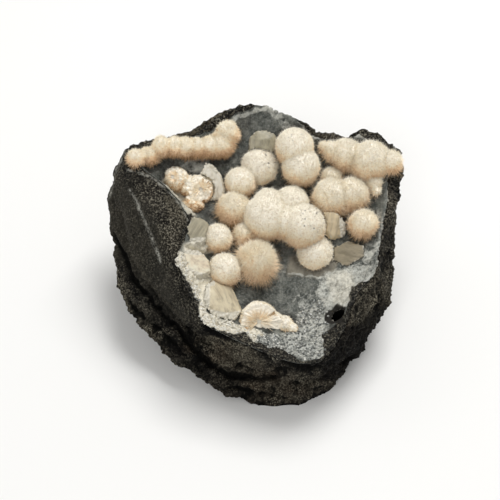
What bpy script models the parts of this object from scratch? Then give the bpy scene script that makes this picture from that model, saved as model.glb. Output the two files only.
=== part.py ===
"""Okenite puffballs in a broken lump of basalt.

A gas bubble in the basalt was broken open. A thin pale lining coats the
bubble, and white balls of okenite needles and a few cloudy crystals grew on
the lining. The lump stands on a flat break.

Lengths and places are in millimetres here and go through MM into metres.
+X is to the right, +Y to the back and +Z up. The origin is on the surface
that the lump stands on, under the middle of its box.
"""

import math

import bmesh
import bpy
from mathutils import Matrix, Vector, noise

MM = 0.001

# Fit between pieces that touch, and how fine the faces are
GAP = 0.35
ROCK_EDGE = 9.9
FLOOR_STEP = 5.8
WELD = 0.004

# The basalt's chunks, each the hull of its corners
UPPER_SLAB = (
    (-47, 31, 52), (-52, 28, 42), (-49, 25, 41), (-46, 6, 34), (-42, -8, 29), (-32, -19, 25),
    (-23, -27, 21), (-14, -31, 18), (-2, -37, 13), (12, -41, 9),
    (-46, 21, 53), (-32, 14, 50), (-25, -3, 44), (-26, -13, 41), (-20, -28, 35), (-17, -34, 33), (-7, -38, 31),
    (2, -41, 29), (14, -45, 27), (23, -44, 26), (29, -34, 29), (33, -22, 33), (41, -13, 35),
    (46, 2, 38), (49, -2, 26), (47, -13, 21), (43, -20, 15), (33, -32, 12), (20, -40, 10),
    (47, 16, 43), (49, 28, 47), (44, 36, 50), (22, 38, 51), (0, 42, 52), (-24, 37, 54), (-38, 33, 53),
    (-44, 37, 38), (-20, 45, 36), (8, 47, 35), (36, 43, 36), (48, 30, 32),
    (-20, 0, 12), (20, 0, 10), (0, 30, 18),
)
LOWER_LUMP = (
    (-51, 27, 40), (-54, 23, 34), (-54, 19, 28), (-51, 7, 25), (-50, -8, 21), (-45, -17, 18),
    (-40, -23, 15), (-32, -31, 11), (-22, -37, 8), (-11, -42, 4), (-49, 18, 18), (-45, -6, 11), (-45, 28, 22),
    (-41, -7, 28), (-31, -18, 23), (-22, -26, 19), (-13, -30, 16), (-2, -36, 12), (12, -40, 8), (25, -38, 9),
    (0, -45, 0), (15, -45, 0), (26, -39, 0), (34, -31, 6), (42, -20, 13), (46, -8, 20), (46, 10, 24),
    (-27, -20, 0), (-30, 4, 0), (-22, 24, 0), (2, 30, 0), (26, 26, 0), (37, 8, 0), (35, -18, 0),
    (-40, 34, 30), (-16, 43, 28), (10, 44, 26), (34, 38, 28), (45, 24, 26),
)
BACK_RIDGE = (
    (-31, 34, 53), (-23, 38, 56), (-11, 43, 59), (3, 45, 61), (12, 42, 57), (22, 39, 51),
    (-22, 33, 54), (-8, 37, 57), (4, 39, 58), (14, 37, 53),
    (-30, 34, 40), (24, 34, 40), (10, 46, 40), (-15, 44, 40),
)
RIGHT_HORN = (
    (33, 38, 52), (38, 39, 53), (44, 38, 52), (52, 32, 50), (53, 27, 45), (52, 20, 39),
    (46, 17, 43), (40, 32, 51), (32, 34, 50), (44, 14, 26), (50, 24, 24), (40, 38, 26),
)
CHUNKS = (UPPER_SLAB, LOWER_LUMP, BACK_RIDGE, RIGHT_HORN)
BREAK_LUMPS = 1.5
BREAK_CHIPS = 1.6

# The bubble's rim in plan, and the bubble's depth under the plane of its rim
RIM = (
    (-46, 21), (-38, 18), (-32, 14.5), (-26.5, 9), (-23, 3.5), (-25, -3), (-26.5, -12.5), (-24, -19),
    (-20.5, -25.5), (-19, -31), (-17, -34), (-7, -37.5), (2, -41), (14, -44.5), (22.5, -44), (29, -33.5),
    (32, -22), (40.5, -13), (44, -2), (44.5, 5.5), (46.5, 16.5), (48.5, 26), (51, 31), (44.5, 36),
    (32, 37), (23, 38), (16, 39.5), (3, 43.5), (-9.5, 40.5), (-22, 35.5), (-32.5, 32), (-45.5, 26.5),
)
BUBBLE_CENTRE = Vector((4, 2))
RIM_HEIGHT = 43.0
RIM_SLOPE = Vector((-0.07, 0.33))
BUBBLE_DEPTH = 12.0
LINING = 1.4

# Swells and hollows of the floor: place, radius and height
FLOOR_SWELLS = (
    (10, -15, 15, -2.5), (-16, -22, 9, 1.6), (30, -6, 10, 1.2), (22, -34, 9, 0.8), (0, 20, 10, -0.8),
)
PIT = (27.5, -26.0, 2.6, 5.0)

# The balls of each piece: place in plan, radius, and the centre's height over the floor in radii
BALLS = {
    "puffball_back": ((1, 31, 7.8, -0.35),),
    "puffballs_back_pair": ((13.7, 32.7, 7.1, 0.6), (16, 27.4, 7, 0.62)),
    "puffballs_right_bank": (
        (24.4, 34, 2.6, 0.3), (27.6, 33, 4, 0.3), (32.3, 31.6, 6.1, 0.4), (41, 28.6, 7.6, 0.45),
        (48, 27, 4.4, 0.3), (42.3, 22, 3.6, 0.3), (43, 18.2, 2.4, 0.3),
    ),
    "puffballs_right_group": ((27.3, 25.4, 4.3, 0.5), (27, 17.6, 7.2, 0.6), (34.2, 18, 6.4, 0.62)),
    "puffball_right": ((37.8, 5.8, 5.5, 0.62),),
    "puffballs_middle": ((3.5, 8.9, 8.3, 0.65), (16.5, 6.8, 8.1, 0.6), (4.3, 14.8, 6, 0.9), (13.4, 17.1, 6.8, 0.6)),
    "puffball_front_low": ((21, 0.6, 7.4, -0.3),),
    "puffball_left_high": ((-5.9, 22.2, 5.6, 0.6),),
    "puffball_left_middle": ((-8, 12.8, 6.2, 0.6),),
    "puffball_small": ((-4.4, 4.2, 4.5, 0.6),),
    "puffball_fluffy": ((0, -6.4, 7.7, 0.65),),
    "puffball_left_small": ((-13.5, 1, 5.1, 0.6),),
    "puffball_left_low": ((-11, -10.1, 5.9, 0.6),),
    "puffballs_broken_left": (
        (-28.5, 22, 4.7, 0.2), (-24.2, 20.4, 4.2, 0.2), (-20.3, 19.8, 5.2, 0.3), (-22.5, 15, 3.8, 0.2),
    ),
    "puffballs_rim_row": (
        (-42.6, 22.8, 3.6, 0.2), (-38, 26, 4, 0.2), (-33.6, 28.4, 4.2, 0.3), (-29.2, 28.8, 3.8, 0.3),
        (-25, 29.2, 4.3, 0.3), (-20.8, 30.2, 3.9, 0.3), (-16.8, 31, 4.2, 0.3), (-12.6, 32, 4.4, 0.3),
        (-9.6, 36, 4, 0.3),
    ),
    "puffball_front_broken": ((1.5, -25, 6.3, 0.3), (6.7, -24.7, 3.5, 0.2), (10.2, -25.6, 3.1, 0.2), (13, -27, 2, 0.2)),
}
BROKEN_FACE = Vector((0.15, -0.8, 0.55))

# The crystals of each piece: the corners of each, with heights over the floor
CRYSTALS = {
    "crystal_back": ((
        (-3, 33.5, 1.6), (-2.6, 36.3, 2.4), (0, 38.4, 2.2), (3, 39, 1.6), (7, 38, 1.4), (8, 34.5, 2),
        (1.5, 35, 4.2), (5, 35.6, 3.8), (3, 31, 3),
    ),),
    "crystal_left_back": (
        ((-20.5, 23, 4), (-18, 25.6, 6), (-15, 25.4, 6), (-12.5, 23.5, 5), (-10.8, 20, 3),
         (-12.5, 17, 1.6), (-16.5, 16.5, 2.4), (-18.5, 20, 5.6)),
        ((-27, 25.5, 1.2), (-24, 27.6, 2), (-19, 28.8, 2.4), (-17.6, 27, 3), (-19, 24.5, 3.5), (-23, 24, 2.4)),
    ),
    "crystal_right": ((
        (23.4, 9.8, 8), (28, 9.8, 7.8), (31, 7.6, 6), (32, 5.4, 3), (30.4, 4.2, 2), (26.4, 3.8, 2.6), (23.6, 6.4, 5.4),
    ),),
    "crystal_right_low": ((
        (27, 0.4, 1.6), (32.4, 1.8, 2.6), (37.4, -1.6, 2.6), (37.6, -5, 1.2), (31.5, -7.4, 0.5), (26.4, -4, 0.4),
    ),),
    "crystal_left_high": ((
        (-24.2, -1, 1), (-22.6, 3, 1.6), (-20, 5.4, 3.2), (-16.8, 4.2, 4.8), (-16, 0.4, 5), (-18.6, -3.4, 4),
        (-23.6, -4.2, 1),
    ),),
    "crystal_left_low": ((
        (-26, -12.4, 1), (-24.6, -8, 2), (-20, -6.6, 4.8), (-16.6, -9, 6), (-15.4, -13, 5),
        (-19.6, -16, 3.4), (-24.4, -15, 1.2),
    ),),
    "crystal_front": ((
        (-15, -15.4, 3.4), (-8.6, -15.6, 3.2), (-6.4, -20, 2.6), (-4.8, -23.6, 1.6), (-7.4, -28, 1.4),
        (-15, -29, 1.6), (-18, -25, 2.6), (-17.4, -19.4, 3.6), (-13, -21.5, 4.6), (-9.6, -20.6, 4.4),
    ),),
}

# Colours for each material, as base colour and roughness
COLOURS = {
    "basalt": ((0.045, 0.042, 0.038), 0.85),
    "lining": ((0.16, 0.18, 0.18), 0.7),
    "okenite": ((0.88, 0.80, 0.68), 0.8),
    "crystal": ((0.62, 0.62, 0.52), 0.25),
}


def rim_radius(angle):
    """Distance from the bubble's centre to its rim in that direction."""
    before = [s for s in SPOKES if s[0] <= angle]
    after = [s for s in SPOKES if s[0] > angle]
    a0, r0 = before[-1] if before else (SPOKES[-1][0] - math.tau, SPOKES[-1][1])
    a1, r1 = after[0] if after else (SPOKES[0][0] + math.tau, SPOKES[0][1])
    t = (angle - a0) / (a1 - a0)
    return r0 + (r1 - r0) * t


SPOKES = sorted((math.atan2(y - BUBBLE_CENTRE.y, x - BUBBLE_CENTRE.x),
                 math.hypot(x - BUBBLE_CENTRE.x, y - BUBBLE_CENTRE.y)) for x, y in RIM)


def floor_height(x, y):
    """Height of the bubble's lined floor under a plan point."""
    d = Vector((x, y)) - BUBBLE_CENTRE
    outwards = min(1.5, d.length / rim_radius(math.atan2(d.y, d.x)))
    height = RIM_HEIGHT + RIM_SLOPE.x * x + RIM_SLOPE.y * y - BUBBLE_DEPTH * (1 - outwards ** 4)
    for sx, sy, radius, rise in FLOOR_SWELLS:
        near = 1 - math.hypot(x - sx, y - sy) / radius
        if near > 0:
            height += rise * near * near * (3 - 2 * near)
    return height


def perch_height(x, y):
    """Floor height for things that sit on the rim, which is never over the rim's plane."""
    return min(floor_height(x, y), RIM_HEIGHT + RIM_SLOPE.x * x + RIM_SLOPE.y * y)


def clear_scene():
    for old in list(bpy.data.objects):
        bpy.data.objects.remove(old)


def new_object(name, bm, collection):
    mesh = bpy.data.meshes.new(name)
    bmesh.ops.recalc_face_normals(bm, faces=bm.faces)
    bm.to_mesh(mesh)
    bm.free()
    made = bpy.data.objects.new(name, mesh)
    collection.objects.link(made)
    return made


def helper(name, bm, helpers):
    made = new_object(name, bm, helpers)
    made.hide_render = True
    made.display_type = "WIRE"
    return made


def combine(target, other, operation):
    step = target.modifiers.new(f"{operation.lower()} {other.name}", "BOOLEAN")
    step.operation = operation
    step.solver = "EXACT"
    step.object = other


def settled(target):
    """The object's mesh after its modifiers, welded, as a bmesh."""
    graph = bpy.context.evaluated_depsgraph_get()
    mesh = bpy.data.meshes.new_from_object(target.evaluated_get(graph))
    bm = bmesh.new()
    bm.from_mesh(mesh)
    bmesh.ops.remove_doubles(bm, verts=bm.verts, dist=WELD * MM)
    return bm


def hull(corners):
    bm = bmesh.new()
    for corner in corners:
        bm.verts.new(Vector(corner) * MM)
    made = bmesh.ops.convex_hull(bm, input=bm.verts)
    inside = [v for v in made["geom_interior"] if isinstance(v, bmesh.types.BMVert)]
    bmesh.ops.delete(bm, geom=inside, context="VERTS")
    return bm


def keep_largest_piece(bm):
    """Drop the crumbs that a cut leaves beside the main body."""
    left = set(bm.verts)
    pieces = []
    while left:
        seed = left.pop()
        piece = [seed]
        for v in piece:
            for edge in v.link_edges:
                other = edge.other_vert(v)
                if other in left:
                    left.discard(other)
                    piece.append(other)
        pieces.append(piece)
    pieces.sort(key=len, reverse=True)
    for crumb in pieces[1:]:
        bmesh.ops.delete(bm, geom=crumb, context="VERTS")


def split_long_edges(bm, longest):
    """Triangles small enough to be moved by the noise, with the breaks kept sharp."""
    bmesh.ops.triangulate(bm, faces=bm.faces)
    for factor in (6, 3, 1.7, 1.25, 1):
        long_edges = [e for e in bm.edges if e.calc_length() > longest * factor]
        bmesh.ops.subdivide_edges(bm, edges=long_edges, cuts=1)
        bmesh.ops.triangulate(bm, faces=bm.faces)
        flat = [e for e in bm.edges if e.calc_face_angle(1.0) < 0.01]
        bmesh.ops.beautify_fill(bm, faces=bm.faces, edges=flat)


def roughen(bm, swell=0.0):
    """The lumps and chips of a break, fading out at the flat base."""
    bm.normal_update()
    moved = []
    for v in bm.verts:
        p = v.co / MM
        lump = noise.fractal(p / 17, 0.9, 2.1, 3)
        chip = noise.turbulence(p / 7, 2, True) - 0.35
        grip = min(1.0, max(0.0, p.z / 4))
        push = grip * (BREAK_LUMPS * lump - BREAK_CHIPS * chip) + swell
        moved.append(v.co + v.normal * push * MM)
    for v, co in zip(bm.verts, moved):
        v.co = co


def basalt_block(name, swell, helpers):
    """The lump of basalt before the bubble is cut out of it."""
    block = None
    for i, corners in enumerate(CHUNKS):
        chunk = helper(f"{name}_chunk_{i}", hull(corners), helpers)
        if block is None:
            block = chunk
        else:
            combine(block, chunk, "UNION")
    bm = settled(block)
    bmesh.ops.remove_doubles(bm, verts=bm.verts, dist=0.1 * MM)
    split_long_edges(bm, ROCK_EDGE * MM)
    roughen(bm, swell)
    return helper(name, bm, helpers)


def floor_sheet(name, lift, thickness, helpers):
    """The floor raised by lift, made a solid of that thickness upwards."""
    across = 132
    steps = round(across / FLOOR_STEP)
    bm = bmesh.new()
    bmesh.ops.create_grid(bm, x_segments=steps, y_segments=steps, size=across / 2 * MM)
    for v in bm.verts:
        v.co.z = (floor_height(v.co.x / MM, v.co.y / MM) + lift) * MM
    raised = bmesh.ops.extrude_face_region(bm, geom=bm.faces[:])["geom"]
    for v in raised:
        if isinstance(v, bmesh.types.BMVert):
            v.co.z = v.co.z + thickness * MM
    bmesh.ops.triangulate(bm, faces=bm.faces)
    return helper(name, bm, helpers)


def pit_cutter(helpers):
    x, y, radius, depth = PIT
    bm = bmesh.new()
    place = Matrix.Translation(Vector((x, y, floor_height(x, y))) * MM)
    bmesh.ops.create_cone(bm, cap_ends=True, segments=9, radius1=radius * 0.6 * MM, radius2=radius * 1.1 * MM,
                          depth=2 * depth * MM, matrix=place)
    return helper("pit_cutter", bm, helpers)


def ball_centre(x, y, radius, lift):
    return Vector((x, y, perch_height(x, y) + lift * radius))


def ball_solid(name, ball, swell, helpers):
    """One ball, with fewer faces when it is small."""
    x, y, radius, lift = ball
    rounds, rings = (13, 7) if radius > 5 else (9, 6) if radius > 4.5 else (8, 5)
    turn = Matrix.Rotation(x + y, 4, Vector((math.sin(x), math.cos(y), 0.6)))
    place = Matrix.Translation(ball_centre(*ball) * MM) @ turn
    bm = bmesh.new()
    bmesh.ops.create_uvsphere(bm, u_segments=rounds, v_segments=rings, radius=(radius + swell) * MM, matrix=place)
    return helper(name, bm, helpers)


def broken_face_cutter(ball, helpers):
    """A block that takes the front off a ball."""
    bm = bmesh.new()
    turn = BROKEN_FACE.normalized().to_track_quat("Z", "Y").to_matrix().to_4x4()
    centre = ball_centre(*ball) + BROKEN_FACE.normalized() * (15 + 0.15 * ball[2])
    bmesh.ops.create_cube(bm, size=30 * MM, matrix=Matrix.Translation(centre * MM) @ turn)
    return helper("broken_face_cutter", bm, helpers)


def ball_piece(name, ground, done, helpers):
    """The joined balls of one piece, resting on the floor and clear of the pieces made before."""
    balls = BALLS[name]
    body = ball_solid(f"{name}_0", balls[0], 0.0, helpers)
    for i, ball in enumerate(balls[1:], 1):
        combine(body, ball_solid(f"{name}_{i}", ball, 0.0, helpers), "UNION")
    combine(body, ground, "DIFFERENCE")
    if name == "puffball_front_broken":
        combine(body, broken_face_cutter(balls[0], helpers), "DIFFERENCE")
    clear_of(body, [(ball_centre(*ball), ball[2]) for ball in balls], done, helpers)
    return body


def clear_of(body, reach, done, helpers):
    """Cut away what would come within the gap of a ball made before."""
    for neighbour in done:
        centre = ball_centre(*neighbour)
        if any((centre - c).length < r + neighbour[2] + GAP for c, r in reach):
            made = ball_solid(f"{body.name}_clear", neighbour, GAP, helpers)
            combine(body, made, "DIFFERENCE")


def crystal_piece(name, ground, done, helpers):
    """The joined crystals of one piece, flat-faced, cut to the floor and clear of the balls."""
    body = None
    for i, corners in enumerate(CRYSTALS[name]):
        tops = [(x, y, perch_height(x, y) + up) for x, y, up in corners]
        middle = sum((Vector(top) for top in tops), Vector()) / len(tops)
        roots = [(x * 0.8 + middle.x * 0.2, y * 0.8 + middle.y * 0.2, middle.z - 12) for x, y, z in tops]
        block = helper(f"{name}_{i}", hull(tops + roots), helpers)
        if body is None:
            body = block
            reach = [(middle, 9.0)]
        else:
            combine(body, block, "UNION")
            reach.append((middle, 9.0))
    combine(body, ground, "DIFFERENCE")
    clear_of(body, reach, done, helpers)
    return body


def finish(name, body, slot, part, materials, offset):
    """The finished piece, moved to the origin, with its material."""
    bm = settled(body)
    bmesh.ops.dissolve_degenerate(bm, edges=bm.edges, dist=WELD * MM)
    keep_largest_piece(bm)
    bmesh.ops.triangulate(bm, faces=[f for f in bm.faces if len(f.verts) > 3])
    bmesh.ops.translate(bm, vec=offset * MM, verts=bm.verts)
    made = new_object(name, bm, part)
    made.data.materials.append(materials[slot])
    return made


def make_material(slot):
    colour, roughness = COLOURS[slot]
    made = bpy.data.materials.new(slot)
    made.use_nodes = True
    shader = made.node_tree.nodes["Principled BSDF"]
    shader.inputs["Base Color"].default_value = (*colour, 1)
    shader.inputs["Roughness"].default_value = roughness
    return made


def main():
    clear_scene()
    part = bpy.data.collections.new("okenite_puffball")
    helpers = bpy.data.collections.new("helpers")
    bpy.context.scene.collection.children.link(part)
    bpy.context.scene.collection.children.link(helpers)
    materials = {slot: make_material(slot) for slot in COLOURS}

    block = basalt_block("block", 0.0, helpers)
    corners = [v.co / MM for v in block.data.vertices]
    offset = Vector((
        -(min(c.x for c in corners) + max(c.x for c in corners)) / 2,
        -(min(c.y for c in corners) + max(c.y for c in corners)) / 2,
        -min(c.z for c in corners),
    ))

    pit = pit_cutter(helpers)
    lining = floor_sheet("lining_sheet", -LINING, LINING, helpers)
    combine(lining, block, "INTERSECT")
    combine(lining, pit, "DIFFERENCE")

    ground = basalt_block("ground", GAP, helpers)
    combine(ground, floor_sheet("over_ground", GAP, 90.0, helpers), "DIFFERENCE")

    done = []
    for name in BALLS:
        body = ball_piece(name, ground, done, helpers)
        finish(name, body, "okenite", part, materials, offset)
        done.extend(BALLS[name])
    for name in CRYSTALS:
        body = crystal_piece(name, ground, done, helpers)
        finish(name, body, "crystal", part, materials, offset)

    finish("vug_lining", lining, "lining", part, materials, offset)
    combine(block, floor_sheet("over_rock", -LINING - GAP, 90.0, helpers), "DIFFERENCE")
    combine(block, pit, "DIFFERENCE")
    finish("basalt_matrix", block, "basalt", part, materials, offset)


main()
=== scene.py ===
# %% [markdown]
# # A hand specimen of okenite on basalt
#
# The specimen is a lump of dark basalt with a broken gas bubble in its top. White balls of okenite needles and a few
# cloudy crystals sit in the bubble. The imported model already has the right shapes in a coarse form. This lesson
# dresses it: the lump gets a fine broken surface, the balls get their needles, and each mineral gets its material.

import math

import bmesh
import bpy
from mathutils import Matrix, Vector, noise
from mathutils.bvhtree import BVHTree


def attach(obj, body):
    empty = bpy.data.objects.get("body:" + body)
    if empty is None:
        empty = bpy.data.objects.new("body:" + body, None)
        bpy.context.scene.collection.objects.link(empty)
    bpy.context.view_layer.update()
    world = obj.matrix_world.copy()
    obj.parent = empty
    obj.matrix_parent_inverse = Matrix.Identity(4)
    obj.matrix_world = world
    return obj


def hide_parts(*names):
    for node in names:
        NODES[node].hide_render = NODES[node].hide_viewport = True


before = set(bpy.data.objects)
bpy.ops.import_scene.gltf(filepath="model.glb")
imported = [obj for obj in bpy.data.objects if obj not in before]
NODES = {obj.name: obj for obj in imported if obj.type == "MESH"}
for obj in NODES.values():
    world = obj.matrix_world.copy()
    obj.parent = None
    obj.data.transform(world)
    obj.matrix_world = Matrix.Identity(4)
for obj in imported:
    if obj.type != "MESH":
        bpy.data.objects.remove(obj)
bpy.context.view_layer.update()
MM = 0.001
print("nodes", len(NODES))

# %% [markdown]
# ## The camera
#
# The specimen was photographed from the front and from fairly high up, about 50 degrees. The camera is made first,
# because a few marks on the rock, such as a vein, are easiest to place where the photograph shows them. `pixel_of`
# says where a point of the model falls in the picture. It is only used here in the script, to paint attributes that
# then stay on the surface.

# %% The camera and its pixels
FRAME_PIXELS = 500
ELEVATION = math.radians(50)
DISTANCE = 420 * MM
AIM = Vector((-2.1, 3.7, 26.0)) * MM
PIXEL = 0.36 * MM
SENSOR = 36

back = Vector((0, -math.cos(ELEVATION), math.sin(ELEVATION)))
right = Vector((1, 0, 0))
up = back.cross(right)

camera_data = bpy.data.cameras.new("photo_camera")
camera_data.sensor_width = SENSOR
camera_data.lens = SENSOR / 2 * DISTANCE / (FRAME_PIXELS / 2 * PIXEL)
camera_data.clip_start = 0.01
camera_data.clip_end = 10
camera = bpy.data.objects.new("photo_camera", camera_data)
bpy.context.scene.collection.objects.link(camera)
camera.location = AIM + back * DISTANCE
camera.rotation_mode = "QUATERNION"
camera.rotation_quaternion = (-back).to_track_quat("-Z", "Y")
bpy.context.scene.camera = camera


def pixel_of(point):
    """The pixel of the 500 by 500 photograph in which a point falls."""
    d = point - (AIM + back * DISTANCE)
    scale = DISTANCE / PIXEL / -d.dot(back)
    return FRAME_PIXELS / 2 + d.dot(right) * scale, FRAME_PIXELS / 2 - d.dot(up) * scale


print("lens", round(camera_data.lens, 1), "mm")

# %% [markdown]
# ## Table and light
#
# The photograph has a white table, a bright soft light from above and almost no hard shadow. A plane would do for the
# table, but its far edge would show in low views. So it is a grid that bends up far behind the lump. The two helpers
# that make a mesh and an object are used again for the pieces.

# %% The table
TABLE_SIZE = 1.6
TABLE_COLOUR = (0.87, 0.865, 0.845)
SWEEP_START = 0.7
SWEEP_RISE = 1.2


def linked(name, data):
    """A new object in the scene, at the origin."""
    made = bpy.data.objects.new(name, data)
    bpy.context.scene.collection.objects.link(made)
    return made


def mesh_from(bm, name):
    """A new mesh from a finished bmesh."""
    mesh = bpy.data.meshes.new(name)
    bm.to_mesh(mesh)
    bm.free()
    return mesh


def make_table():
    bm = bmesh.new()
    bmesh.ops.create_grid(bm, x_segments=2, y_segments=40, size=TABLE_SIZE)
    for v in bm.verts:
        v.co.z = SWEEP_RISE * max(0.0, v.co.y - SWEEP_START) ** 2
    mesh = mesh_from(bm, "table")
    for polygon in mesh.polygons:
        polygon.use_smooth = True
    return linked("table", mesh)


table = make_table()
table_finish = bpy.data.materials.new("white_table")
table_finish.use_nodes = True
table_shader = table_finish.node_tree.nodes["Principled BSDF"]
table_shader.inputs["Base Color"].default_value = (*TABLE_COLOUR, 1)
table_shader.inputs["Roughness"].default_value = 0.7
table.data.materials.append(table_finish)
print("table", len(table.data.polygons), "faces")

# %% [markdown]
# A large lamp gives a soft shadow, and a white world fills it in. The key light stands behind and above, because the
# photograph has its shadow in front of the lump and the tops of the balls are the brightest places. A weaker light
# in front opens the dark rock, and a weak one at the left shapes the left face.

# %% The lights
WORLD_LIGHT = 0.42
LIGHTS = (
    ("key", (0.16, 0.3, 0.75), 0.4, 4.7),
    ("front", (-0.2, -0.7, 0.6), 0.4, 2.0),
    ("left", (-0.75, 0.2, 0.45), 0.5, 0.5),
)


def make_lights():
    for name, place, size, power in LIGHTS:
        data = bpy.data.lights.new(name, "AREA")
        data.energy = power
        data.size = size
        lamp = linked(name, data)
        lamp.location = place
        lamp.rotation_mode = "QUATERNION"
        lamp.rotation_quaternion = (AIM - Vector(place)).to_track_quat("-Z", "Y")


make_lights()
world = bpy.data.worlds.new("studio")
bpy.context.scene.world = world
world.use_nodes = True
world.node_tree.nodes["Background"].inputs["Color"].default_value = (1, 1, 1, 1)
world.node_tree.nodes["Background"].inputs["Strength"].default_value = WORLD_LIGHT
bpy.context.scene.view_settings.view_transform = "Standard"
print("lights", len(LIGHTS))

# %% [markdown]
# ## Helpers for meshes
#
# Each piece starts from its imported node, because that says where it is and how large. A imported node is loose
# triangles, so a copy of it is merged first. A voxel remesh then turns it into an even skin whose points are close
# enough together to be moved by noise.

# %% Copies, remeshing and attributes
MERGE_DISTANCE = 0.002 * MM


def merged_copy(node, name):
    """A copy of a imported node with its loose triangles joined."""
    bm = bmesh.new()
    bm.from_mesh(NODES[node].data)
    bmesh.ops.remove_doubles(bm, verts=bm.verts, dist=MERGE_DISTANCE)
    return linked(name, mesh_from(bm, name))


def baked(obj):
    """The object's modifiers turned into its own mesh."""
    graph = bpy.context.evaluated_depsgraph_get()
    mesh = bpy.data.meshes.new_from_object(obj.evaluated_get(graph))
    obj.modifiers.clear()
    obj.data = mesh
    mesh.name = obj.name
    return obj


def remeshed(obj, voxel, rounds):
    """The object with an even skin of the voxel's size, smoothed a number of rounds."""
    step = obj.modifiers.new("skin", "REMESH")
    step.mode = "VOXEL"
    step.voxel_size = voxel
    step.use_smooth_shade = True
    soften = obj.modifiers.new("soften", "SMOOTH")
    soften.iterations = rounds
    soften.factor = 0.5
    return baked(obj)


def points_and_normals(mesh):
    """Each point with its normal as it was before any point is moved."""
    return list(zip(mesh.vertices, [v.normal.copy() for v in mesh.vertices]))


def skin_tree(obj):
    """A search tree over an object's faces."""
    mesh = obj.data
    return BVHTree.FromPolygons([v.co for v in mesh.vertices], [tuple(p.vertices) for p in mesh.polygons])


def painted(mesh, paint):
    """Write lists of one number for each point, under their names, for a material to read."""
    for name, values in paint.items():
        layer = mesh.attributes.new(name, "FLOAT", "POINT")
        layer.data.foreach_set("value", values)


def finished(piece, finish):
    """Give a piece one material in place of what it has."""
    piece.data.materials.clear()
    piece.data.materials.append(finish)


print("mesh helpers ready")

# %% [markdown]
# ## Places in the photograph
#
# Frost, stains and veins have places with irregular borders. Each is written down as a drawn line or outline of pixels.
# `field` and `stripe` turn such a line into a function that says how strong the mark is at a pixel, so that it can be
# painted on the points of a mesh.

# %% Fields and stripes


def smooth_step(low, high, x):
    """0 at low and 1 at high, with a smooth change between them."""
    t = min(1.0, max(0.0, (x - low) / (high - low)))
    return t * t * (3 - 2 * t)


def near_line(u, v, line):
    """Distance in pixels from a pixel to a line of pixels."""
    best = 1e9
    for (u0, v0), (u1, v1) in zip(line, line[1:]):
        du, dv = u1 - u0, v1 - v0
        t = min(1.0, max(0.0, ((u - u0) * du + (v - v0) * dv) / (du * du + dv * dv)))
        best = min(best, math.hypot(u - u0 - t * du, v - v0 - t * dv))
    return best


def inside(u, v, outline):
    """Whether a pixel is inside a closed line of pixels."""
    hit = False
    for (u0, v0), (u1, v1) in zip(outline, outline[1:] + outline[:1]):
        if (v0 > v) != (v1 > v) and u < (u1 - u0) * (v - v0) / (v1 - v0) + u0:
            hit = not hit
    return hit


def near_box(points, margin):
    """A quick test of whether a pixel is in the box round some pixels, with a margin."""
    us, vs = [p[0] for p in points], [p[1] for p in points]
    left, right_most = min(us) - margin, max(us) + margin
    top, bottom = min(vs) - margin, max(vs) + margin
    return lambda u, v: left < u < right_most and top < v < bottom


def field(outline, feather):
    """A function of a pixel: 1 inside the outline, fading to 0 over the feather outside it."""
    near = near_box(outline, feather)

    def at(u, v):
        if not near(u, v):
            return 0.0
        if inside(u, v, outline):
            return 1.0
        return 1.0 - smooth_step(0.0, feather, near_line(u, v, outline + outline[:1]))

    return at


def stripe(line, core, reach):
    """A function of a pixel: 1 within the core distance of the line, fading to 0 at its reach."""
    near = near_box(line, reach)

    def at(u, v):
        return 1.0 - smooth_step(core, reach, near_line(u, v, line)) if near(u, v) else 0.0

    return at


def strongest(places, u, v):
    """The strongest of several places at a pixel; each is a field or stripe and its amount."""
    return max(amount * at(u, v) for at, amount in places)


def strongest_spot(spots, u, v):
    """How near a pixel is to the nearest of some round spots: 1 in a spot's middle and 0 or less outside it."""
    return max(1 - math.hypot(u - a, v - b) / size for (a, b), size in spots)


print("field and stripe ready")

# %% [markdown]
# ## Helpers for materials
#
# A material here is a short list of nodes. `add` makes a node, sets its values by socket name, and links other nodes'
# outputs into it. `ramp`, `mix` and the sums are the nodes that are used most. A value that is the same all over the
# surface is set on the shader's own socket.

# %% Adding nodes


def new_material(name):
    """A new material, its node tree and its shader."""
    made = bpy.data.materials.new(name)
    made.use_nodes = True
    tree = made.node_tree
    return made, tree, tree.nodes["Principled BSDF"]


def feed(tree, socket, value):
    """Link a node's output into a socket, or set the socket to a number or a colour."""
    if isinstance(value, bpy.types.NodeSocket):
        tree.links.new(value, socket)
    elif isinstance(value, tuple):
        socket.default_value = (*value, 1)
    else:
        socket.default_value = value


def add(tree, kind, links=None, **values):
    """A node with its properties or sockets set, and its inputs linked."""
    node = tree.nodes.new(kind)
    for key, value in values.items():
        if hasattr(node, key):
            setattr(node, key, value)
        else:
            node.inputs[key.replace("_", " ")].default_value = value
    for key, source in (links or {}).items():
        tree.links.new(source, node.inputs[key])
    return node


def ramp(tree, source, stops):
    """A colour ramp; each stop is a place and a colour or a grey."""
    node = tree.nodes.new("ShaderNodeValToRGB")
    elements = node.color_ramp.elements
    while len(elements) < len(stops):
        elements.new(0.5)
    for element, (place, colour) in zip(elements, stops):
        element.position = place
        element.color = (*colour, 1) if isinstance(colour, tuple) else (colour, colour, colour, 1)
    tree.links.new(source, node.inputs["Fac"])
    return node.outputs["Color"]


def mix(tree, factor, a, b):
    """Two colours mixed; each may be a colour or another node's output."""
    node = tree.nodes.new("ShaderNodeMix")
    node.data_type = "RGBA"
    for key, value in (("Factor_Float", factor), ("A_Color", a), ("B_Color", b)):
        feed(tree, next(s for s in node.inputs if s.identifier == key), value)
    return next(s for s in node.outputs if s.identifier == "Result_Color")


def sum_node(tree, operation, a, b):
    """A sum of two values; each may be a number or another node's output."""
    node = tree.nodes.new("ShaderNodeMath")
    node.operation = operation
    for socket, value in zip(node.inputs, (a, b)):
        feed(tree, socket, value)
    return node.outputs[0]


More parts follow.
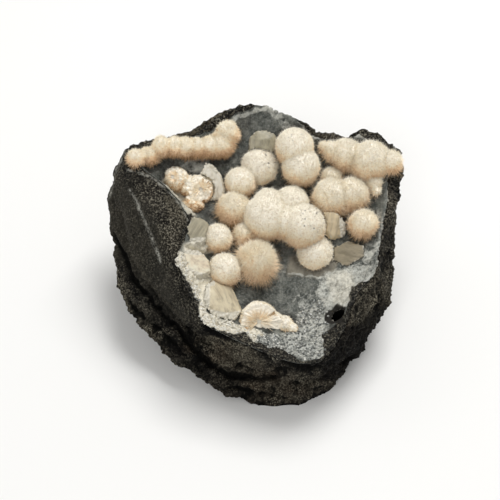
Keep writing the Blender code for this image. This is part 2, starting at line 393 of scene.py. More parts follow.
def times(tree, a, b):
    return sum_node(tree, "MULTIPLY", a, b)


def plus(tree, a, b):
    return sum_node(tree, "ADD", a, b)


def minus(tree, a, b):
    return sum_node(tree, "SUBTRACT", a, b)


print("node helpers ready")

# %% [markdown]
# The patterns of stone are noise at several sizes. They read the object's own coordinates in metres, so a scale of
# 1000 means a pattern of about a millimetre, and the pattern stays put when the camera moves.

# %% Patterns and bumps


def object_place(tree):
    """The place on the object itself, in metres."""
    return tree.nodes.new("ShaderNodeTexCoord").outputs["Object"]


def grain(tree, place, scale, detail, roughness):
    """Cloudy noise from 0 to 1."""
    node = add(tree, "ShaderNodeTexNoise", {"Vector": place}, Scale=scale, Detail=detail, Roughness=roughness)
    return node.outputs["Fac"]


def cells(tree, place, scale):
    """The distance to the nearest of many scattered spots."""
    return add(tree, "ShaderNodeTexVoronoi", {"Vector": place}, Scale=scale).outputs["Distance"]


def attribute(tree, name):
    """The numbers painted on the points under a name."""
    return add(tree, "ShaderNodeAttribute", attribute_name=name).outputs["Fac"]


def bump(tree, shader, height, strength, distance, below=None):
    """Fine relief for the shader, on top of the bump below it."""
    node = add(tree, "ShaderNodeBump", {"Height": height}, Strength=strength, Distance=distance)
    if below is not None:
        tree.links.new(below.outputs["Normal"], node.inputs["Normal"])
    tree.links.new(node.outputs["Normal"], shader.inputs["Normal"])
    return node


print("pattern helpers ready")

# %% [markdown]
# ## Basalt
#
# Fresh basalt breaks into dark, fine-grained faces that are full of tiny bright and dark grains. Weathering leaves a
# brown stain low on the lump, and thin white veins cross its left face. The colour comes from noise at several sizes.
# Crests get a painted highlight and pits and grooves a painted shade, and that, like the stains and veins, comes from
# numbers painted on the points.

# %% The basalt's colour
BASALT_TONES = ((0.38, (0.002, 0.0017, 0.0015)), (0.5, (0.006, 0.0053, 0.0042)), (0.66, (0.028, 0.025, 0.019)))
PALE_GRAIN = (0.22, 0.205, 0.165)
BLACK_GRAIN = (0.004, 0.0035, 0.003)
GLINT = (0.5, 0.47, 0.4)
DARK_FLECK = (0.003, 0.0027, 0.0022)
PALE_FLECK = (0.32, 0.295, 0.225)


def basalt_colour(tree, place, broad, fine):
    """The speckled colour of bare basalt."""
    speck = cells(tree, place, 1300)
    colour = ramp(tree, broad, BASALT_TONES)
    light = ramp(tree, fine, ((0.56, 0.0), (0.66, 1.0)))
    colour = mix(tree, times(tree, light, 0.4), colour, PALE_GRAIN)
    dark = ramp(tree, speck, ((0.0, 1.0), (0.3, 0.0)))
    colour = mix(tree, times(tree, dark, 0.8), colour, BLACK_GRAIN)
    facet = ramp(tree, cells(tree, place, 700), ((0.08, 1.0), (0.2, 0.0)))
    glint = times(tree, facet, ramp(tree, broad, ((0.5, 0.0), (0.6, 0.7))))
    return mix(tree, glint, colour, GLINT)


def speckled(tree, place, colour, strength):
    """Small bright and dark grains over a colour, in patches."""
    small = grain(tree, place, 1500, 2, 0.7)
    patch = ramp(tree, grain(tree, place, 170, 5, 0.7), ((0.38, 0.12), (0.62, 1.0)))
    dark = times(tree, ramp(tree, small, ((0.41, 0.85), (0.5, 0.0))), strength)
    colour = mix(tree, dark, colour, DARK_FLECK)
    light = times(tree, ramp(tree, small, ((0.53, 0.0), (0.62, 0.7))), patch)
    return mix(tree, times(tree, light, strength), colour, PALE_FLECK)


print("basalt tones", len(BASALT_TONES))

# %% [markdown]
# The marks lie over the bare colour in the order in which they came: a painted highlight on the crests, dust with a
# painted highlight on lit facets, rust, then the grains of the fresh break, painted shade in the hollows, white veins
# and last painted shade under the ledges and the lip. Where the break is even, the grains are weaker. A texture paint
# could do the same, but numbers on the points need no image.

# %% The basalt's finish
EVEN_GREY = (0.032, 0.03, 0.0235)
CREST_HIGHLIGHT = (0.12, 0.108, 0.085)
DUST_AND_HIGHLIGHT_COLOUR = (0.12, 0.105, 0.075)
RUST = (0.058, 0.041, 0.026)
HOLLOW_SHADE = (0.002, 0.002, 0.0015)
CHALK = (0.5, 0.49, 0.43)
DEEP_SHADE = (0.0012, 0.001, 0.001)


def basalt_finish():
    made, tree, shader = new_material("basalt_broken")
    place = object_place(tree)
    broad = grain(tree, place, 75, 6, 0.68)
    fine = grain(tree, place, 1000, 3, 0.8)
    colour = basalt_colour(tree, place, broad, fine)
    relief = attribute(tree, "relief")
    # A painted highlight on the crests, from the relief.
    crest_highlight = times(tree, ramp(tree, relief, ((0.55, 0.0), (0.9, 0.8))), fine)
    colour = mix(tree, crest_highlight, colour, CREST_HIGHLIGHT)
    # Dust, and a painted highlight on a lit facet and along the ledge.
    dust_and_highlight = times(tree, attribute(tree, "dust_and_highlight"), ramp(tree, fine, ((0.3, 0.1), (0.6, 0.85))))
    colour = mix(tree, dust_and_highlight, colour, DUST_AND_HIGHLIGHT_COLOUR)
    rust = times(tree, attribute(tree, "rust"), ramp(tree, broad, ((0.38, 0.0), (0.58, 1.0))))
    colour = mix(tree, rust, colour, RUST)
    even = attribute(tree, "even")
    colour = mix(tree, times(tree, even, 0.6), colour, EVEN_GREY)
    colour = speckled(tree, place, colour, minus(tree, 1.0, times(tree, even, 0.62)))
    # Painted shade in the pits and grooves, from the relief.
    colour = mix(tree, ramp(tree, relief, ((0.15, 0.95), (0.48, 0.0))), colour, HOLLOW_SHADE)
    chalk = times(tree, attribute(tree, "chalk"), ramp(tree, fine, ((0.4, 0.0), (0.58, 0.8))))
    colour = mix(tree, chalk, colour, CHALK)
    # Painted shade under the ledges and the lip, in the pit and on the lower faces.
    colour = mix(tree, attribute(tree, "rock_shade"), colour, DEEP_SHADE)
    feed(tree, shader.inputs["Base Color"], colour)
    feed(tree, shader.inputs["Roughness"], ramp(tree, fine, ((0.3, 0.95), (0.7, 0.6))))
    shader.inputs["Specular IOR Level"].default_value = 0.1
    coarse = bump(tree, shader, broad, 1.0, 1.8 * MM)
    bump(tree, shader, fine, 1.0, 0.45 * MM, coarse)
    return made


basalt = basalt_finish()
print("finish", basalt.name)

# %% [markdown]
# The lump's skin is remeshed finely. Noise then moves each point inwards or outwards: broad dents, sharp chips,
# crags and a sandy grain. A displacement modifier could do that with textures, but in a loop the amount can also
# follow the place. The left face is a fairly even break and the lower front is the roughest. Long grooves run under
# the ledge and under the lip of the bubble, and the lump bulges a little at three places of its outline.

# %% Grooves, bulges and even faces
lining_skin = skin_tree(NODES["vug_lining"])
rock_skin = skin_tree(NODES["basalt_matrix"])
PIT_OUTLINE = [(325, 316), (334, 308), (340, 306), (344, 309), (342, 316), (341, 323), (327, 321)]
even_face = field([(118, 172), (150, 182), (184, 214), (190, 262), (200, 318), (176, 318), (146, 286), (120, 240),
                   (110, 205)], 8)
GROOVES = (
    (stripe([(112, 234), (124, 258), (132, 279), (144, 291), (163, 315), (177, 327), (196, 353), (215, 367), (230, 377),
             (262, 377), (285, 371)], 0, 4.2), 2.0),
    (stripe([(203, 327), (215, 334), (228, 339), (247, 341), (259, 351), (278, 357), (292, 366), (307, 371),
             (322, 369)], 0, 4.5), 2.2),
    (field(PIT_OUTLINE, 2), 2.6),
    (stripe([(122, 296), (138, 312), (153, 326), (170, 341), (186, 356)], 0, 3), 1.1),
    (stripe([(290, 384), (312, 374), (334, 368), (352, 356)], 0, 3.5), 1.2),
    (stripe([(352, 290), (358, 312), (352, 334), (338, 356)], 0, 3), 0.8),
    (stripe([(222, 392), (240, 388), (262, 394), (286, 399)], 0, 3), 1.0),
)
SWELLS = (
    ((362, 350), 17, Vector((1.6, -1.2, 0))),
    ((402, 198), 13, Vector((1.9, 0, 0))),
    ((107, 196), 20, Vector((-0.9, 0, 0))),
)
print("grooves", len(GROOVES), "bulges", len(SWELLS))

# %% [markdown]
# The relief is a sum of four noises, each with its own size in millimetres. Crags come from cells: the distance to
# the border between two cells is small in a crack and large on a lump.

# %% The relief of a break
DENT_SIZE = 9
CHIP_SIZE = 3.4
CRAG_SIZE = 3.6
SAND_SIZE = 1.25
WANDER_SIZE = 3


def swell(u, w):
    """How far the lump bulges sideways at a place, in millimetres."""
    bulge = Vector((0, 0, 0))
    for (a, b), size, push in SWELLS:
        bulge += push * smooth_step(size, 0.3 * size, math.hypot(u - a, w - b))
    return bulge


def crag(p):
    """Low in the cracks between lumps and high on the lumps, from -1 to 1."""
    near = noise.voronoi(p)[0]
    return min(1.0, 2.2 * (near[1] - near[0])) * 2 - 1


def chipped(p, rough):
    """How far a break stands out at a place in millimetres."""
    dents = noise.fractal(p / DENT_SIZE, 0.8, 2.2, 4)
    chips = abs(noise.noise(p / CHIP_SIZE + Vector((7, 3, 1))))
    q = p / WANDER_SIZE
    wander = Vector((noise.noise(q), noise.noise(q + Vector((5, 0, 0))), noise.noise(q + Vector((0, 9, 0)))))
    crags = crag(p / CRAG_SIZE + wander * 0.5)
    sand = noise.fractal(p / SAND_SIZE, 0.6, 2.0, 3)
    return (0.95 * dents - 1.1 * chips + 0.3 * crags) * rough + 0.48 * sand * (0.5 + 0.5 * rough) + 0.15


print("a break at the origin stands out", round(chipped(Vector((0, 0, 0)), 1.0), 2), "mm")

# %% [markdown]
# Now each point of the lump is moved. Two places need care. The rock under the lining stays put, or it would show
# through the thin crust. Near the table the points only move inwards, so the base stays flat and on the ground.

# %% The lump
ROCK_VOXEL = 0.63 * MM
FACING = 0.1
NEAR_LINING = (0.3, 1.5)
NEAR_TABLE = (0.0, 2.0)


def roughness_at(point):
    """How rough the break is at a point: rougher low down, and in broad patches."""
    return 0.85 + 0.35 * noise.noise(point / MM / 16) + 0.25 * smooth_step(34, 14, point.z / MM)


def dress_lump():
    lump = remeshed(merged_copy("basalt_matrix", "basalt_lump"), ROCK_VOXEL, 1)
    relief = []
    for v, normal in points_and_normals(lump.data):
        away = lining_skin.find_nearest(v.co)[3] / MM
        free = smooth_step(*NEAR_LINING, away)
        low = smooth_step(*NEAR_TABLE, v.co.z / MM)
        rough = roughness_at(v.co)
        cut = 0.0
        u, w = pixel_of(v.co)
        bulge = swell(u, w) * low
        if normal.dot(back) > FACING:
            rough -= 0.5 * even_face(u, w)
            w += 3.2 * noise.noise(v.co / MM / 3.2)
            cut = max(depth * groove(u, w) for groove, depth in GROOVES)
        out = chipped(v.co / MM, rough)
        if low < 1:
            out = min(0.0, out * low - (1 - low) * (0.6 + 1.4 * noise.noise(v.co / MM / 5)))
            normal = Vector((normal.x, normal.y, normal.z * low))
        v.co += (normal * (out - cut) + bulge) * free * MM
        # High relief later gives a painted highlight, and low relief and the grooves give painted shade.
        relief.append(min(1.0, max(0.0, 0.5 + (out + 0.15) * 0.45 - cut * 0.35)) if free > 0 else 0.5)
    painted(lump.data, {"relief": relief})
    return lump


lump = dress_lump()
print("lump", len(lump.data.polygons), "faces")

# %% [markdown]
# Stains, dust with a painted highlight on lit facets, painted shade under the ledges and the lip and in the pit, and
# veins are painted where the photograph shows them, and only on what faces the camera. The rest of the lump gets a rust
# stain near its foot and patches of noise, so that the back looks like the front.

# %% Where the lump's marks are
VEINS = (
    stripe([(130, 190), (138, 206), (144, 220), (151, 236), (158, 252), (160, 262)], 0.4, 2.4),
    stripe([(125, 150), (116, 172), (108, 200)], 0.2, 1.8),
    stripe([(128, 170), (150, 176), (166, 188), (181, 204), (189, 220), (196, 226)], 0.4, 2.2),
    stripe([(222, 122), (240, 113), (262, 106), (275, 104)], 0.2, 1.6),
)
RUST_PLACES = (
    ((250, 382), 26), ((292, 392), 22), ((222, 356), 26), ((345, 335), 16), ((275, 375), 14), ((190, 346), 14),
    ((332, 332), 10), ((215, 122), 20), ((180, 128), 16),
)
# Dust, and a painted highlight on the lit facet at the front and along the ledge.
DUST_AND_HIGHLIGHT = (
    (field([(190, 343), (212, 337), (250, 352), (262, 364), (238, 367), (205, 360)], 5), 1.0),
    (field([(150, 137), (190, 122), (240, 102), (266, 98), (268, 104), (215, 126), (165, 142)], 4), 0.8),
    (field([(205, 386), (240, 372), (290, 377), (330, 370), (318, 394), (262, 402)], 6), 0.45),
    (field([(118, 292), (150, 322), (166, 345), (140, 330)], 4), 0.5),
    (field([(356, 290), (386, 272), (386, 308), (364, 330), (352, 330)], 6), 0.6),
    (field([(104, 200), (120, 180), (150, 250), (135, 270), (118, 250)], 8), 0.25),
    (stripe([(126, 245), (138, 265), (150, 283), (165, 301), (184, 320)], 0.4, 2.2), 0.9),
    (field([(166, 196), (180, 204), (194, 222), (186, 232), (172, 222)], 5), 0.7),
)
EVEN = (
    (field([(106, 196), (122, 186), (142, 208), (156, 240), (166, 286), (182, 316), (160, 306), (138, 276),
            (116, 244)], 14), 1.0),
    (field([(226, 352), (260, 366), (300, 372), (296, 384), (250, 380), (222, 366)], 8), 0.5),
)
# Painted shade under the lip and the ledges, in the pit and on the shaded lower faces.
ROCK_SHADE = (
    (stripe([(207, 330), (226, 335), (247, 334)], 2.5, 6), 1.0),
    (stripe([(259, 345), (278, 351), (292, 361), (307, 365), (322, 363)], 1, 4), 0.9),
    (stripe([(195, 355), (215, 369), (230, 378), (262, 380), (285, 374)], 1, 4), 0.8),
    (field(PIT_OUTLINE, 1.5), 1.0),
    (field([(170, 345), (200, 362), (232, 384), (262, 398), (240, 408), (190, 384)], 8), 0.55),
    (field([(150, 290), (176, 318), (200, 330), (205, 350), (186, 346), (160, 320)], 10), 0.45),
    (field([(344, 330), (362, 326), (384, 306), (386, 334), (356, 370), (322, 378)], 7), 0.85),
    (stripe([(118, 262), (136, 292), (160, 314)], 1, 4), 0.6),
)
print("marks", sum(len(m) for m in (VEINS, RUST_PLACES, DUST_AND_HIGHLIGHT, EVEN, ROCK_SHADE)))

# %% [markdown]
# Each list is asked for its strongest mark at the pixel of a point. A little noise is added to the pixel first, so
# that the veins and the dark borders waver.

# %% Stains and veins on the lump


def paint_lump(mesh):
    paint = {"rock_shade": [], "even": [], "dust_and_highlight": [], "rust": [], "chalk": []}
    for v in mesh.vertices:
        p = v.co / MM
        u, w = pixel_of(v.co)
        foot = 0.35 * smooth_step(26, 4, p.z)
        rust = min(1.0, max(foot, strongest_spot(RUST_PLACES, u, w)) + 0.08)
        dust_and_highlight = max(0.0, 0.6 * noise.noise(p / 11))
        even = max(0.0, 0.8 * noise.noise(p / 14))
        rock_shade = vein = 0.0
        if v.normal.dot(back) > FACING:
            even = max(even, strongest(EVEN, u, w))
            dust_and_highlight = max(dust_and_highlight, strongest(DUST_AND_HIGHLIGHT, u, w))
            rock_shade = strongest(ROCK_SHADE, u, w + 1.5 * noise.noise(p / 2))
            u += 1.4 * noise.noise(p / 4)
            vein = max(vein_at(u, w) for vein_at in VEINS) * min(1.0, 0.25 + 2.2 * abs(noise.noise(p / 2.5)))
        for label, value in zip(paint, (rock_shade, min(1.0, even), dust_and_highlight, rust, max(0.0, vein))):
            paint[label].append(value)
    painted(mesh, paint)


paint_lump(lump.data)
finished(lump, basalt)
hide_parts("basalt_matrix")
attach(lump, "root")
print("lump painted")

# %% [markdown]
# ## The lining of the bubble
#
# A thin crust of blue-grey mineral coats the bubble. It is smooth in the hollow at the front, with a painted highlight
# along it, frosted white at the front right, and sugary with tiny crystals along the left rim and the front lip. It has
# broken away at the right, and dark rock shows there. Its broken edge shows as a thin pale line. The places are painted
# on the points as numbers, and noise in the material breaks their borders up.

# %% The lining's finish
BLUE_TONES = ((0.34, (0.04, 0.045, 0.04)), (0.5, (0.115, 0.12, 0.107)), (0.68, (0.225, 0.228, 0.2)))
PALE_FLAKE = (0.34, 0.35, 0.32)
DARK_FLAKE = (0.02, 0.021, 0.019)
BROWN_TONES = ((0.11, 0.1, 0.075), (0.42, 0.38, 0.3))
FROST_AND_HIGHLIGHT_TONES = ((0.44, 0.47, 0.46), (0.66, 0.63, 0.53))
SHADE_COLOUR = (0.02, 0.018, 0.015)
CREAM_COLOUR = (0.8, 0.75, 0.62)
WORN_COLOUR = (0.6, 0.56, 0.47)


def lining_finish():
    made, tree, shader = new_material("lining_crust")
    place = object_place(tree)
    broad = grain(tree, place, 110, 6, 0.7)
    blotch = grain(tree, place, 300, 5, 0.75)
    fine = grain(tree, place, 1200, 3, 0.85)
    blue = ramp(tree, blotch, BLUE_TONES)
    light = ramp(tree, fine, ((0.52, 0.0), (0.7, 1.0)))
    colour = mix(tree, times(tree, light, 0.4), blue, PALE_FLAKE)
    dark = ramp(tree, cells(tree, place, 1100), ((0.05, 0.7), (0.25, 0.0)))
    colour = mix(tree, dark, colour, DARK_FLAKE)
    brown = times(tree, attribute(tree, "brown"), 0.8)
    colour = mix(tree, brown, colour, mix(tree, blotch, *BROWN_TONES))
    uneven = times(tree, minus(tree, blotch, 0.5), 2.6)
    # Frost, and a painted highlight along the smooth hollow.
    frost_and_highlight = plus(tree, attribute(tree, "frost_and_highlight"), uneven)
    frost_and_highlight = ramp(tree, frost_and_highlight, ((0.25, 0.0), (0.95, 1.0)))
    frost_and_highlight = times(tree, frost_and_highlight, ramp(tree, attribute(tree, "frost_and_highlight"), ((0.02, 0.0), (0.3, 1.0))))
    frost_and_highlight = times(tree, frost_and_highlight, ramp(tree, fine, ((0.3, 0.45), (0.6, 1.0))))
    colour = mix(tree, frost_and_highlight, colour, mix(tree, broad, *FROST_AND_HIGHLIGHT_TONES))
    bare = plus(tree, attribute(tree, "bare"), times(tree, uneven, 0.5))
    bare = ramp(tree, bare, ((0.3, 0.0), (0.55, 1.0)))
    rock = speckled(tree, place, basalt_colour(tree, place, broad, fine), 1.0)
    colour = mix(tree, bare, colour, rock)
    shade = times(tree, attribute(tree, "shade"), ramp(tree, blotch, ((0.3, 1.0), (0.7, 0.45))))
    colour = mix(tree, shade, colour, SHADE_COLOUR)
    cream = times(tree, attribute(tree, "cream"), ramp(tree, blotch, ((0.3, 0.45), (0.55, 1.0))))
    colour = mix(tree, cream, colour, CREAM_COLOUR)
    worn = times(tree, attribute(tree, "edge"), ramp(tree, blotch, ((0.4, 0.1), (0.6, 0.8))))
    colour = mix(tree, worn, colour, WORN_COLOUR)
    feed(tree, shader.inputs["Base Color"], colour)
    feed(tree, shader.inputs["Roughness"], ramp(tree, fine, ((0.3, 0.85), (0.75, 0.45))))
    shader.inputs["Specular IOR Level"].default_value = 0.18
    coarse = bump(tree, shader, blotch, 0.6, 0.8 * MM)
    bump(tree, shader, fine, 0.5, 0.16 * MM, coarse)
    return made


crust = lining_finish()
print("finish", crust.name)

# %% [markdown]
# The lining's places are outlines and lines again. Two outlines and two lines are used twice, for the colour and for
# the tiny crystals that grow there, so they have names of their own.

# %% Where the lining's marks are
LIP_FIELD = [(304, 305), (325, 303), (327, 333), (322, 358), (304, 358), (287, 350), (281, 338), (295, 328)]
CORNER_FIELD = [(255, 333), (281, 338), (291, 356), (262, 345), (250, 336)]
FROST_AND_HIGHLIGHT = (
    (field([(325, 277), (338, 272), (352, 268), (368, 268), (371, 280), (358, 283), (350, 288), (348, 306), (337, 305),
            (326, 303), (318, 296)], 7), 0.75),
    (field(LIP_FIELD, 6), 0.72),
    (field(CORNER_FIELD, 4), 0.7),
    (field([(300, 294), (318, 296), (326, 303), (304, 305), (294, 300)], 5), 0.45),
    (field([(340, 262), (380, 240), (383, 262), (371, 280), (352, 268)], 5), 0.35),
    (field([(181, 168), (190, 161), (207, 160), (209, 170), (196, 173)], 3), 1.0),
    (stripe([(222, 126), (238, 117), (258, 110), (272, 107)], 0.8, 3.5), 1.1),
    (stripe([(270, 108), (280, 118), (290, 130)], 1.6, 6.4), 0.6),
    (stripe([(310, 134), (325, 130), (345, 128), (362, 134)], 2.4, 9.6), 0.8),
    (stripe([(360, 250), (370, 254), (366, 262)], 1.6, 6.4), 0.8),
    (stripe([(378, 215), (381, 235), (376, 250)], 1.6, 6.4), 0.8),
    # A painted highlight along the smooth hollow.
    (stripe([(282, 271), (296, 275), (312, 276), (325, 279)], 0.5, 2), 0.7),
    (stripe([(355, 125), (372, 132), (380, 140)], 1.2, 4.8), 0.5),
)
RIM_LINE = [(176, 256), (183, 275), (193, 291), (199, 315), (214, 325), (230, 329), (250, 337)]
UPPER_RIM_LINE = [(189, 219), (184, 232), (181, 246), (177, 256)]
CREAM = (
    (stripe(RIM_LINE, 4, 9), 1.0),
    (stripe([(128, 166), (150, 177), (165, 190), (176, 203), (186, 216), (196, 224)], 0.5, 2.5), 0.5),
    (stripe([(166, 182), (178, 194), (187, 206), (193, 217)], 1.5, 5), 0.75),
    (field([(178, 256), (196, 272), (213, 276), (213, 290), (206, 304), (204, 318), (222, 324), (244, 326), (262, 334),
            (240, 332), (217, 328), (198, 316), (192, 290), (182, 274)], 3), 1.0),
    (field([(186, 244), (200, 240), (212, 240), (213, 250), (198, 254), (184, 254)], 3), 1.0),
    (stripe(UPPER_RIM_LINE, 0.5, 3.5), 0.6),
    (field([(330, 280), (340, 276), (350, 277), (349, 296), (344, 302), (336, 298)], 7), 0.4),
)
pit_field = field([(325, 316), (328, 311), (334, 308), (340, 306), (344, 309), (342, 316), (341, 323), (334, 323),
                   (327, 321)], 1.5)
BARE = (
    field([(352, 288), (371, 282), (386, 262), (392, 300), (366, 345), (338, 368), (325, 362), (324, 334), (337, 325),
           (346, 315), (350, 305)], 3),
    field([(352, 124), (386, 124), (392, 150), (376, 146), (362, 134)], 3),
    field([(165, 143), (176, 128), (205, 110), (238, 98), (262, 96), (256, 105), (238, 112), (222, 121), (212, 129),
           (185, 138)], 2),
    field([(203, 325), (215, 329), (226, 333), (245, 333), (257, 344), (264, 352), (250, 350), (230, 342),
           (210, 333)], 1),
    field([(254, 342), (262, 345), (270, 348), (279, 347), (285, 352), (293, 358), (299, 361), (310, 362), (315, 359.5),
           (320, 360), (326, 356), (331, 364), (316, 369), (296, 368), (274, 362), (256, 352), (249, 343)], 0.8),
    field([(195, 216), (192, 224), (186, 235), (181, 249), (177, 257), (170, 256), (174, 240), (180, 228),
           (187, 214)], 1),
    field([(177, 264), (182, 272), (192, 289), (199, 301), (198, 316), (193, 316), (188, 300), (178, 284),
           (172, 264)], 1),
)
SUGAR = (
    (stripe(RIM_LINE, 3, 7), 1.0),
    (stripe(UPPER_RIM_LINE, 0, 2.5), 0.7),
    (field(LIP_FIELD, 3), 0.7),
    (field(CORNER_FIELD, 3), 1.0),
)
brown_field = field([(292, 260), (320, 250), (338, 256), (332, 270), (318, 274), (290, 272)], 6)
SHADE_PLACES = (
    ((285, 182), 20), ((270, 172), 12), ((318, 158), 12), ((276, 252), 15), ((208, 214), 12), ((262, 284), 12),
    ((196, 207), 9), ((182, 160), 10), ((215, 158), 10), ((232, 286), 9), ((334, 198), 12), ((352, 236), 14),
    ((250, 330), 5), ((270, 332), 5), ((335, 315), 11), ((331, 330), 8), ((247, 122), 16), ((228, 136), 14),
)
print("lining marks", len(FROST_AND_HIGHLIGHT) + len(CREAM) + len(BARE) + len(SUGAR) + len(SHADE_PLACES))

# %% [markdown]
# Two things on the lining come from the pieces round it. It is darker close to a ball, where little light comes in,
# and it is built up close to a crystal. Its broken edge is found by looking straight through it: where the way
# through is much longer than the crust is thick, the surface is an edge. The mark `free` says where the tiny
# crystals may grow.

# %% What is painted on the lining
LINING_MARKS = ("frost_and_highlight", "cream", "shade", "edge", "bare", "brown", "free")
CRUST_THROUGH = 2.4 * MM
UNDERSIDE = -0.3
STEEP = 0.1


def skin_of(beginning):
    """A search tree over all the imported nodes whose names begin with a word."""
    points, faces = [], []
    for name, part in NODES.items():
        if name.startswith(beginning):
            faces += [[i + len(points) for i in p.vertices] for p in part.data.polygons]
            points += [v.co for v in part.data.vertices]
    return BVHTree.FromPolygons(points, faces)


ball_skin = skin_of("puffball")
crystal_skin = skin_of("crystal")


def lining_shade(point, u, w):
    """How dark the lining is at a point: by place, close to a ball, and in the pit."""
    shade = max(0.0, strongest_spot(SHADE_PLACES, u, w))
    close = ball_skin.find_nearest(point, 3.5 * MM)[3]
    if close is not None:
        shade = max(shade, 0.85 * (1 - smooth_step(0.3, 3.2, close / MM)))
    return max(shade, 2.2 * pit_field(u, w))


def lining_marks(point, normal):
    """What is painted on the lining at a point, under the names of the marks."""
    marks = dict.fromkeys(LINING_MARKS, 0.0)
    if normal.z > UNDERSIDE:
        p = point / MM
        u, w = pixel_of(point)
        u += 2.2 * noise.noise(p / 2.5)
        w += 2.2 * noise.noise(p / 2.5 + Vector((4, 4, 0)))
        bare = max(at(u, w) for at in BARE)
        marks["frost_and_highlight"] = strongest(FROST_AND_HIGHLIGHT, u, w)
        marks["cream"] = strongest(CREAM, u, w) * (1 - bare)
        marks["shade"] = lining_shade(point, u, w)
        through = lining_skin.ray_cast(point - normal * 0.08 * MM, -normal)[3]
        marks["edge"] = 1.0 - bare if through and through > CRUST_THROUGH else 0.0
        marks["bare"] = bare
        marks["brown"] = brown_field(u, w)
        marks["free"] = (1 - bare) * strongest(SUGAR, u, w) * (normal.z > STEEP)
    return marks


print("marks by name", LINING_MARKS)

# %% [markdown]
# The lining is moved like the lump, but much less, and by what is painted on it. The smooth blue crust gets only soft
# bumps, and the frosted, sugary and broken places get crags.

# %% The lining
LINING_VOXEL = 0.5 * MM


def lining_bumps(point, frost_and_highlight, cream, bare, edge):
    """How far the lining stands out at a point, in millimetres."""
    p = point / MM
    rough = 0.12 + 0.35 * max(frost_and_highlight, cream, bare)
    bumps = noise.fractal(p / 1.6, 0.8, 2.1, 3) * rough
    bumps += edge * (0.9 * noise.noise(p / 2.4) + 0.35 * noise.noise(p / 0.9))
    if cream or bare:
        bumps += 0.3 * bare * crag(p / 3) + 0.35 * cream * crag(p / 2)
        close = crystal_skin.find_nearest(point, 2 * MM)[3]
        if close is not None:
            bumps += 1.3 * cream * (1 - smooth_step(0.3, 2.0, close / MM))
    return bumps


def dress_lining():
    lining = remeshed(merged_copy("vug_lining", "lining"), LINING_VOXEL, 1)
    paint = {label: [] for label in LINING_MARKS}
    for v, normal in points_and_normals(lining.data):
        marks = lining_marks(v.co, normal)
        v.co += normal * lining_bumps(v.co, marks["frost_and_highlight"], marks["cream"], marks["bare"], marks["edge"]) * MM
        for label, value in marks.items():
            paint[label].append(value)
    painted(lining.data, paint)
    return lining


lining = dress_lining()
finished(lining, crust)
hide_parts("vug_lining")
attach(lining, "root")
print("lining", len(lining.data.polygons), "faces")

# %% [markdown]
# ## The needle balls
#
# An okenite ball is a sphere of fine needles that all start at its middle. Only the outer ends show, so each ball is a
# slightly lumpy core with a coat of needles on it. The core of each piece is the union of its balls, made by a voxel
# remesh, so needles grow only on what is outside. A ball is given by its place on the plan and its radius in
# millimetres, and by its lift: how far its centre stands over the lining there, as a share of the radius.

# %% Where the balls are
ORIGIN_SHIFT = Vector((0.2, -1.1))
BALLS = {
    "puffball_back": ((1, 31, 7.8, -0.35),),
    "puffballs_back_pair": ((13.7, 32.7, 7.1, 0.6), (16, 27.4, 7, 0.62)),
    "puffballs_right_bank": (
        (24.4, 34, 2.6, 0.3), (27.6, 33, 4, 0.3), (32.3, 31.6, 6.1, 0.4), (41, 28.6, 7.6, 0.45),
        (48, 27, 4.4, 0.3), (42.3, 22, 3.6, 0.3), (43, 18.2, 2.4, 0.3),
    ),
    "puffballs_right_group": ((27.3, 25.4, 4.3, 0.5), (27, 17.6, 7.2, 0.6), (34.2, 18, 6.4, 0.62)),
    "puffball_right": ((37.8, 5.8, 5.5, 0.62),),
    "puffballs_middle": ((3.5, 8.9, 8.3, 0.65), (16.5, 6.8, 8.1, 0.6), (4.3, 14, 5.9, 0.88), (12.5, 15.6, 6.4, 0.57)),
    "puffball_front_low": ((21, 0.6, 7.4, -0.3),),
    "puffball_left_high": ((-5.9, 22.2, 5.6, 0.6),),
    "puffball_left_middle": ((-8, 12.8, 6.2, 0.6),),
    "puffball_small": ((-4.4, 4.2, 4.5, 0.6),),
    "puffball_fluffy": ((0, -6.4, 7.7, 0.65),),
    "puffball_left_small": ((-13.5, 1, 5.1, 0.6),),
    "puffball_left_low": ((-11, -10.1, 5.9, 0.6),),
    "puffballs_broken_left": (
        (-28.5, 22, 4.7, 0.2), (-24.2, 20.4, 4.2, 0.2), (-20.3, 19.8, 5.2, 0.3), (-22.5, 15, 3.8, 0.2),
    ),
    "puffballs_rim_row": (
        (-42.6, 23.2, 3.6, 0.3), (-38, 26.4, 3.9, 0.35), (-33.6, 28.9, 4.2, 0.5), (-29.2, 29.8, 4, 0.5),
        (-25, 30.3, 4.3, 0.5), (-20.8, 31.1, 4.1, 0.45), (-16.6, 31.9, 4.5, 0.45), (-12.7, 32.9, 4.8, 0.45),
        (-10.4, 36.6, 4.8, 0.4),
    ),
    "puffball_front_broken": (
        (0.7, -26.8, 6.7, 0.2), (6.1, -25.8, 3.7, 0.15), (9.5, -26.5, 3.2, 0.12), (12.2, -27.8, 2.1, 0.1),
    ),
}
BRIDGES = {
    "puffballs_rim_row": (
        (0, 1, 2.7), (1, 2, 2.9), (2, 3, 3.0), (3, 4, 3.0), (4, 5, 3.0), (5, 6, 3.4), (6, 7, 4.0), (7, 8, 4.6),
    ),
    "puffballs_middle": ((0, 1, 6.3),),
    "puffballs_right_bank": ((0, 1, 2.2), (1, 2, 3.1), (2, 3, 4.0), (3, 4, 4.0), (3, 5, 3.6), (5, 6, 2.3)),
    "puffballs_broken_left": ((0, 1, 3.3), (1, 2, 3.4), (2, 3, 3.1)),
    "puffball_front_broken": ((0, 1, 3.2), (1, 2, 2.6), (2, 3, 2.0)),
}


def ground_height(x, y):
    """The height of the lining at a place, or of the rock where the lining ends."""
    for skin in (lining_skin, rock_skin):
        hit = skin.ray_cast(Vector((x, y, 0.2)), Vector((0, 0, -1)))[0]
        if hit:
            return hit.z
    return 0.0


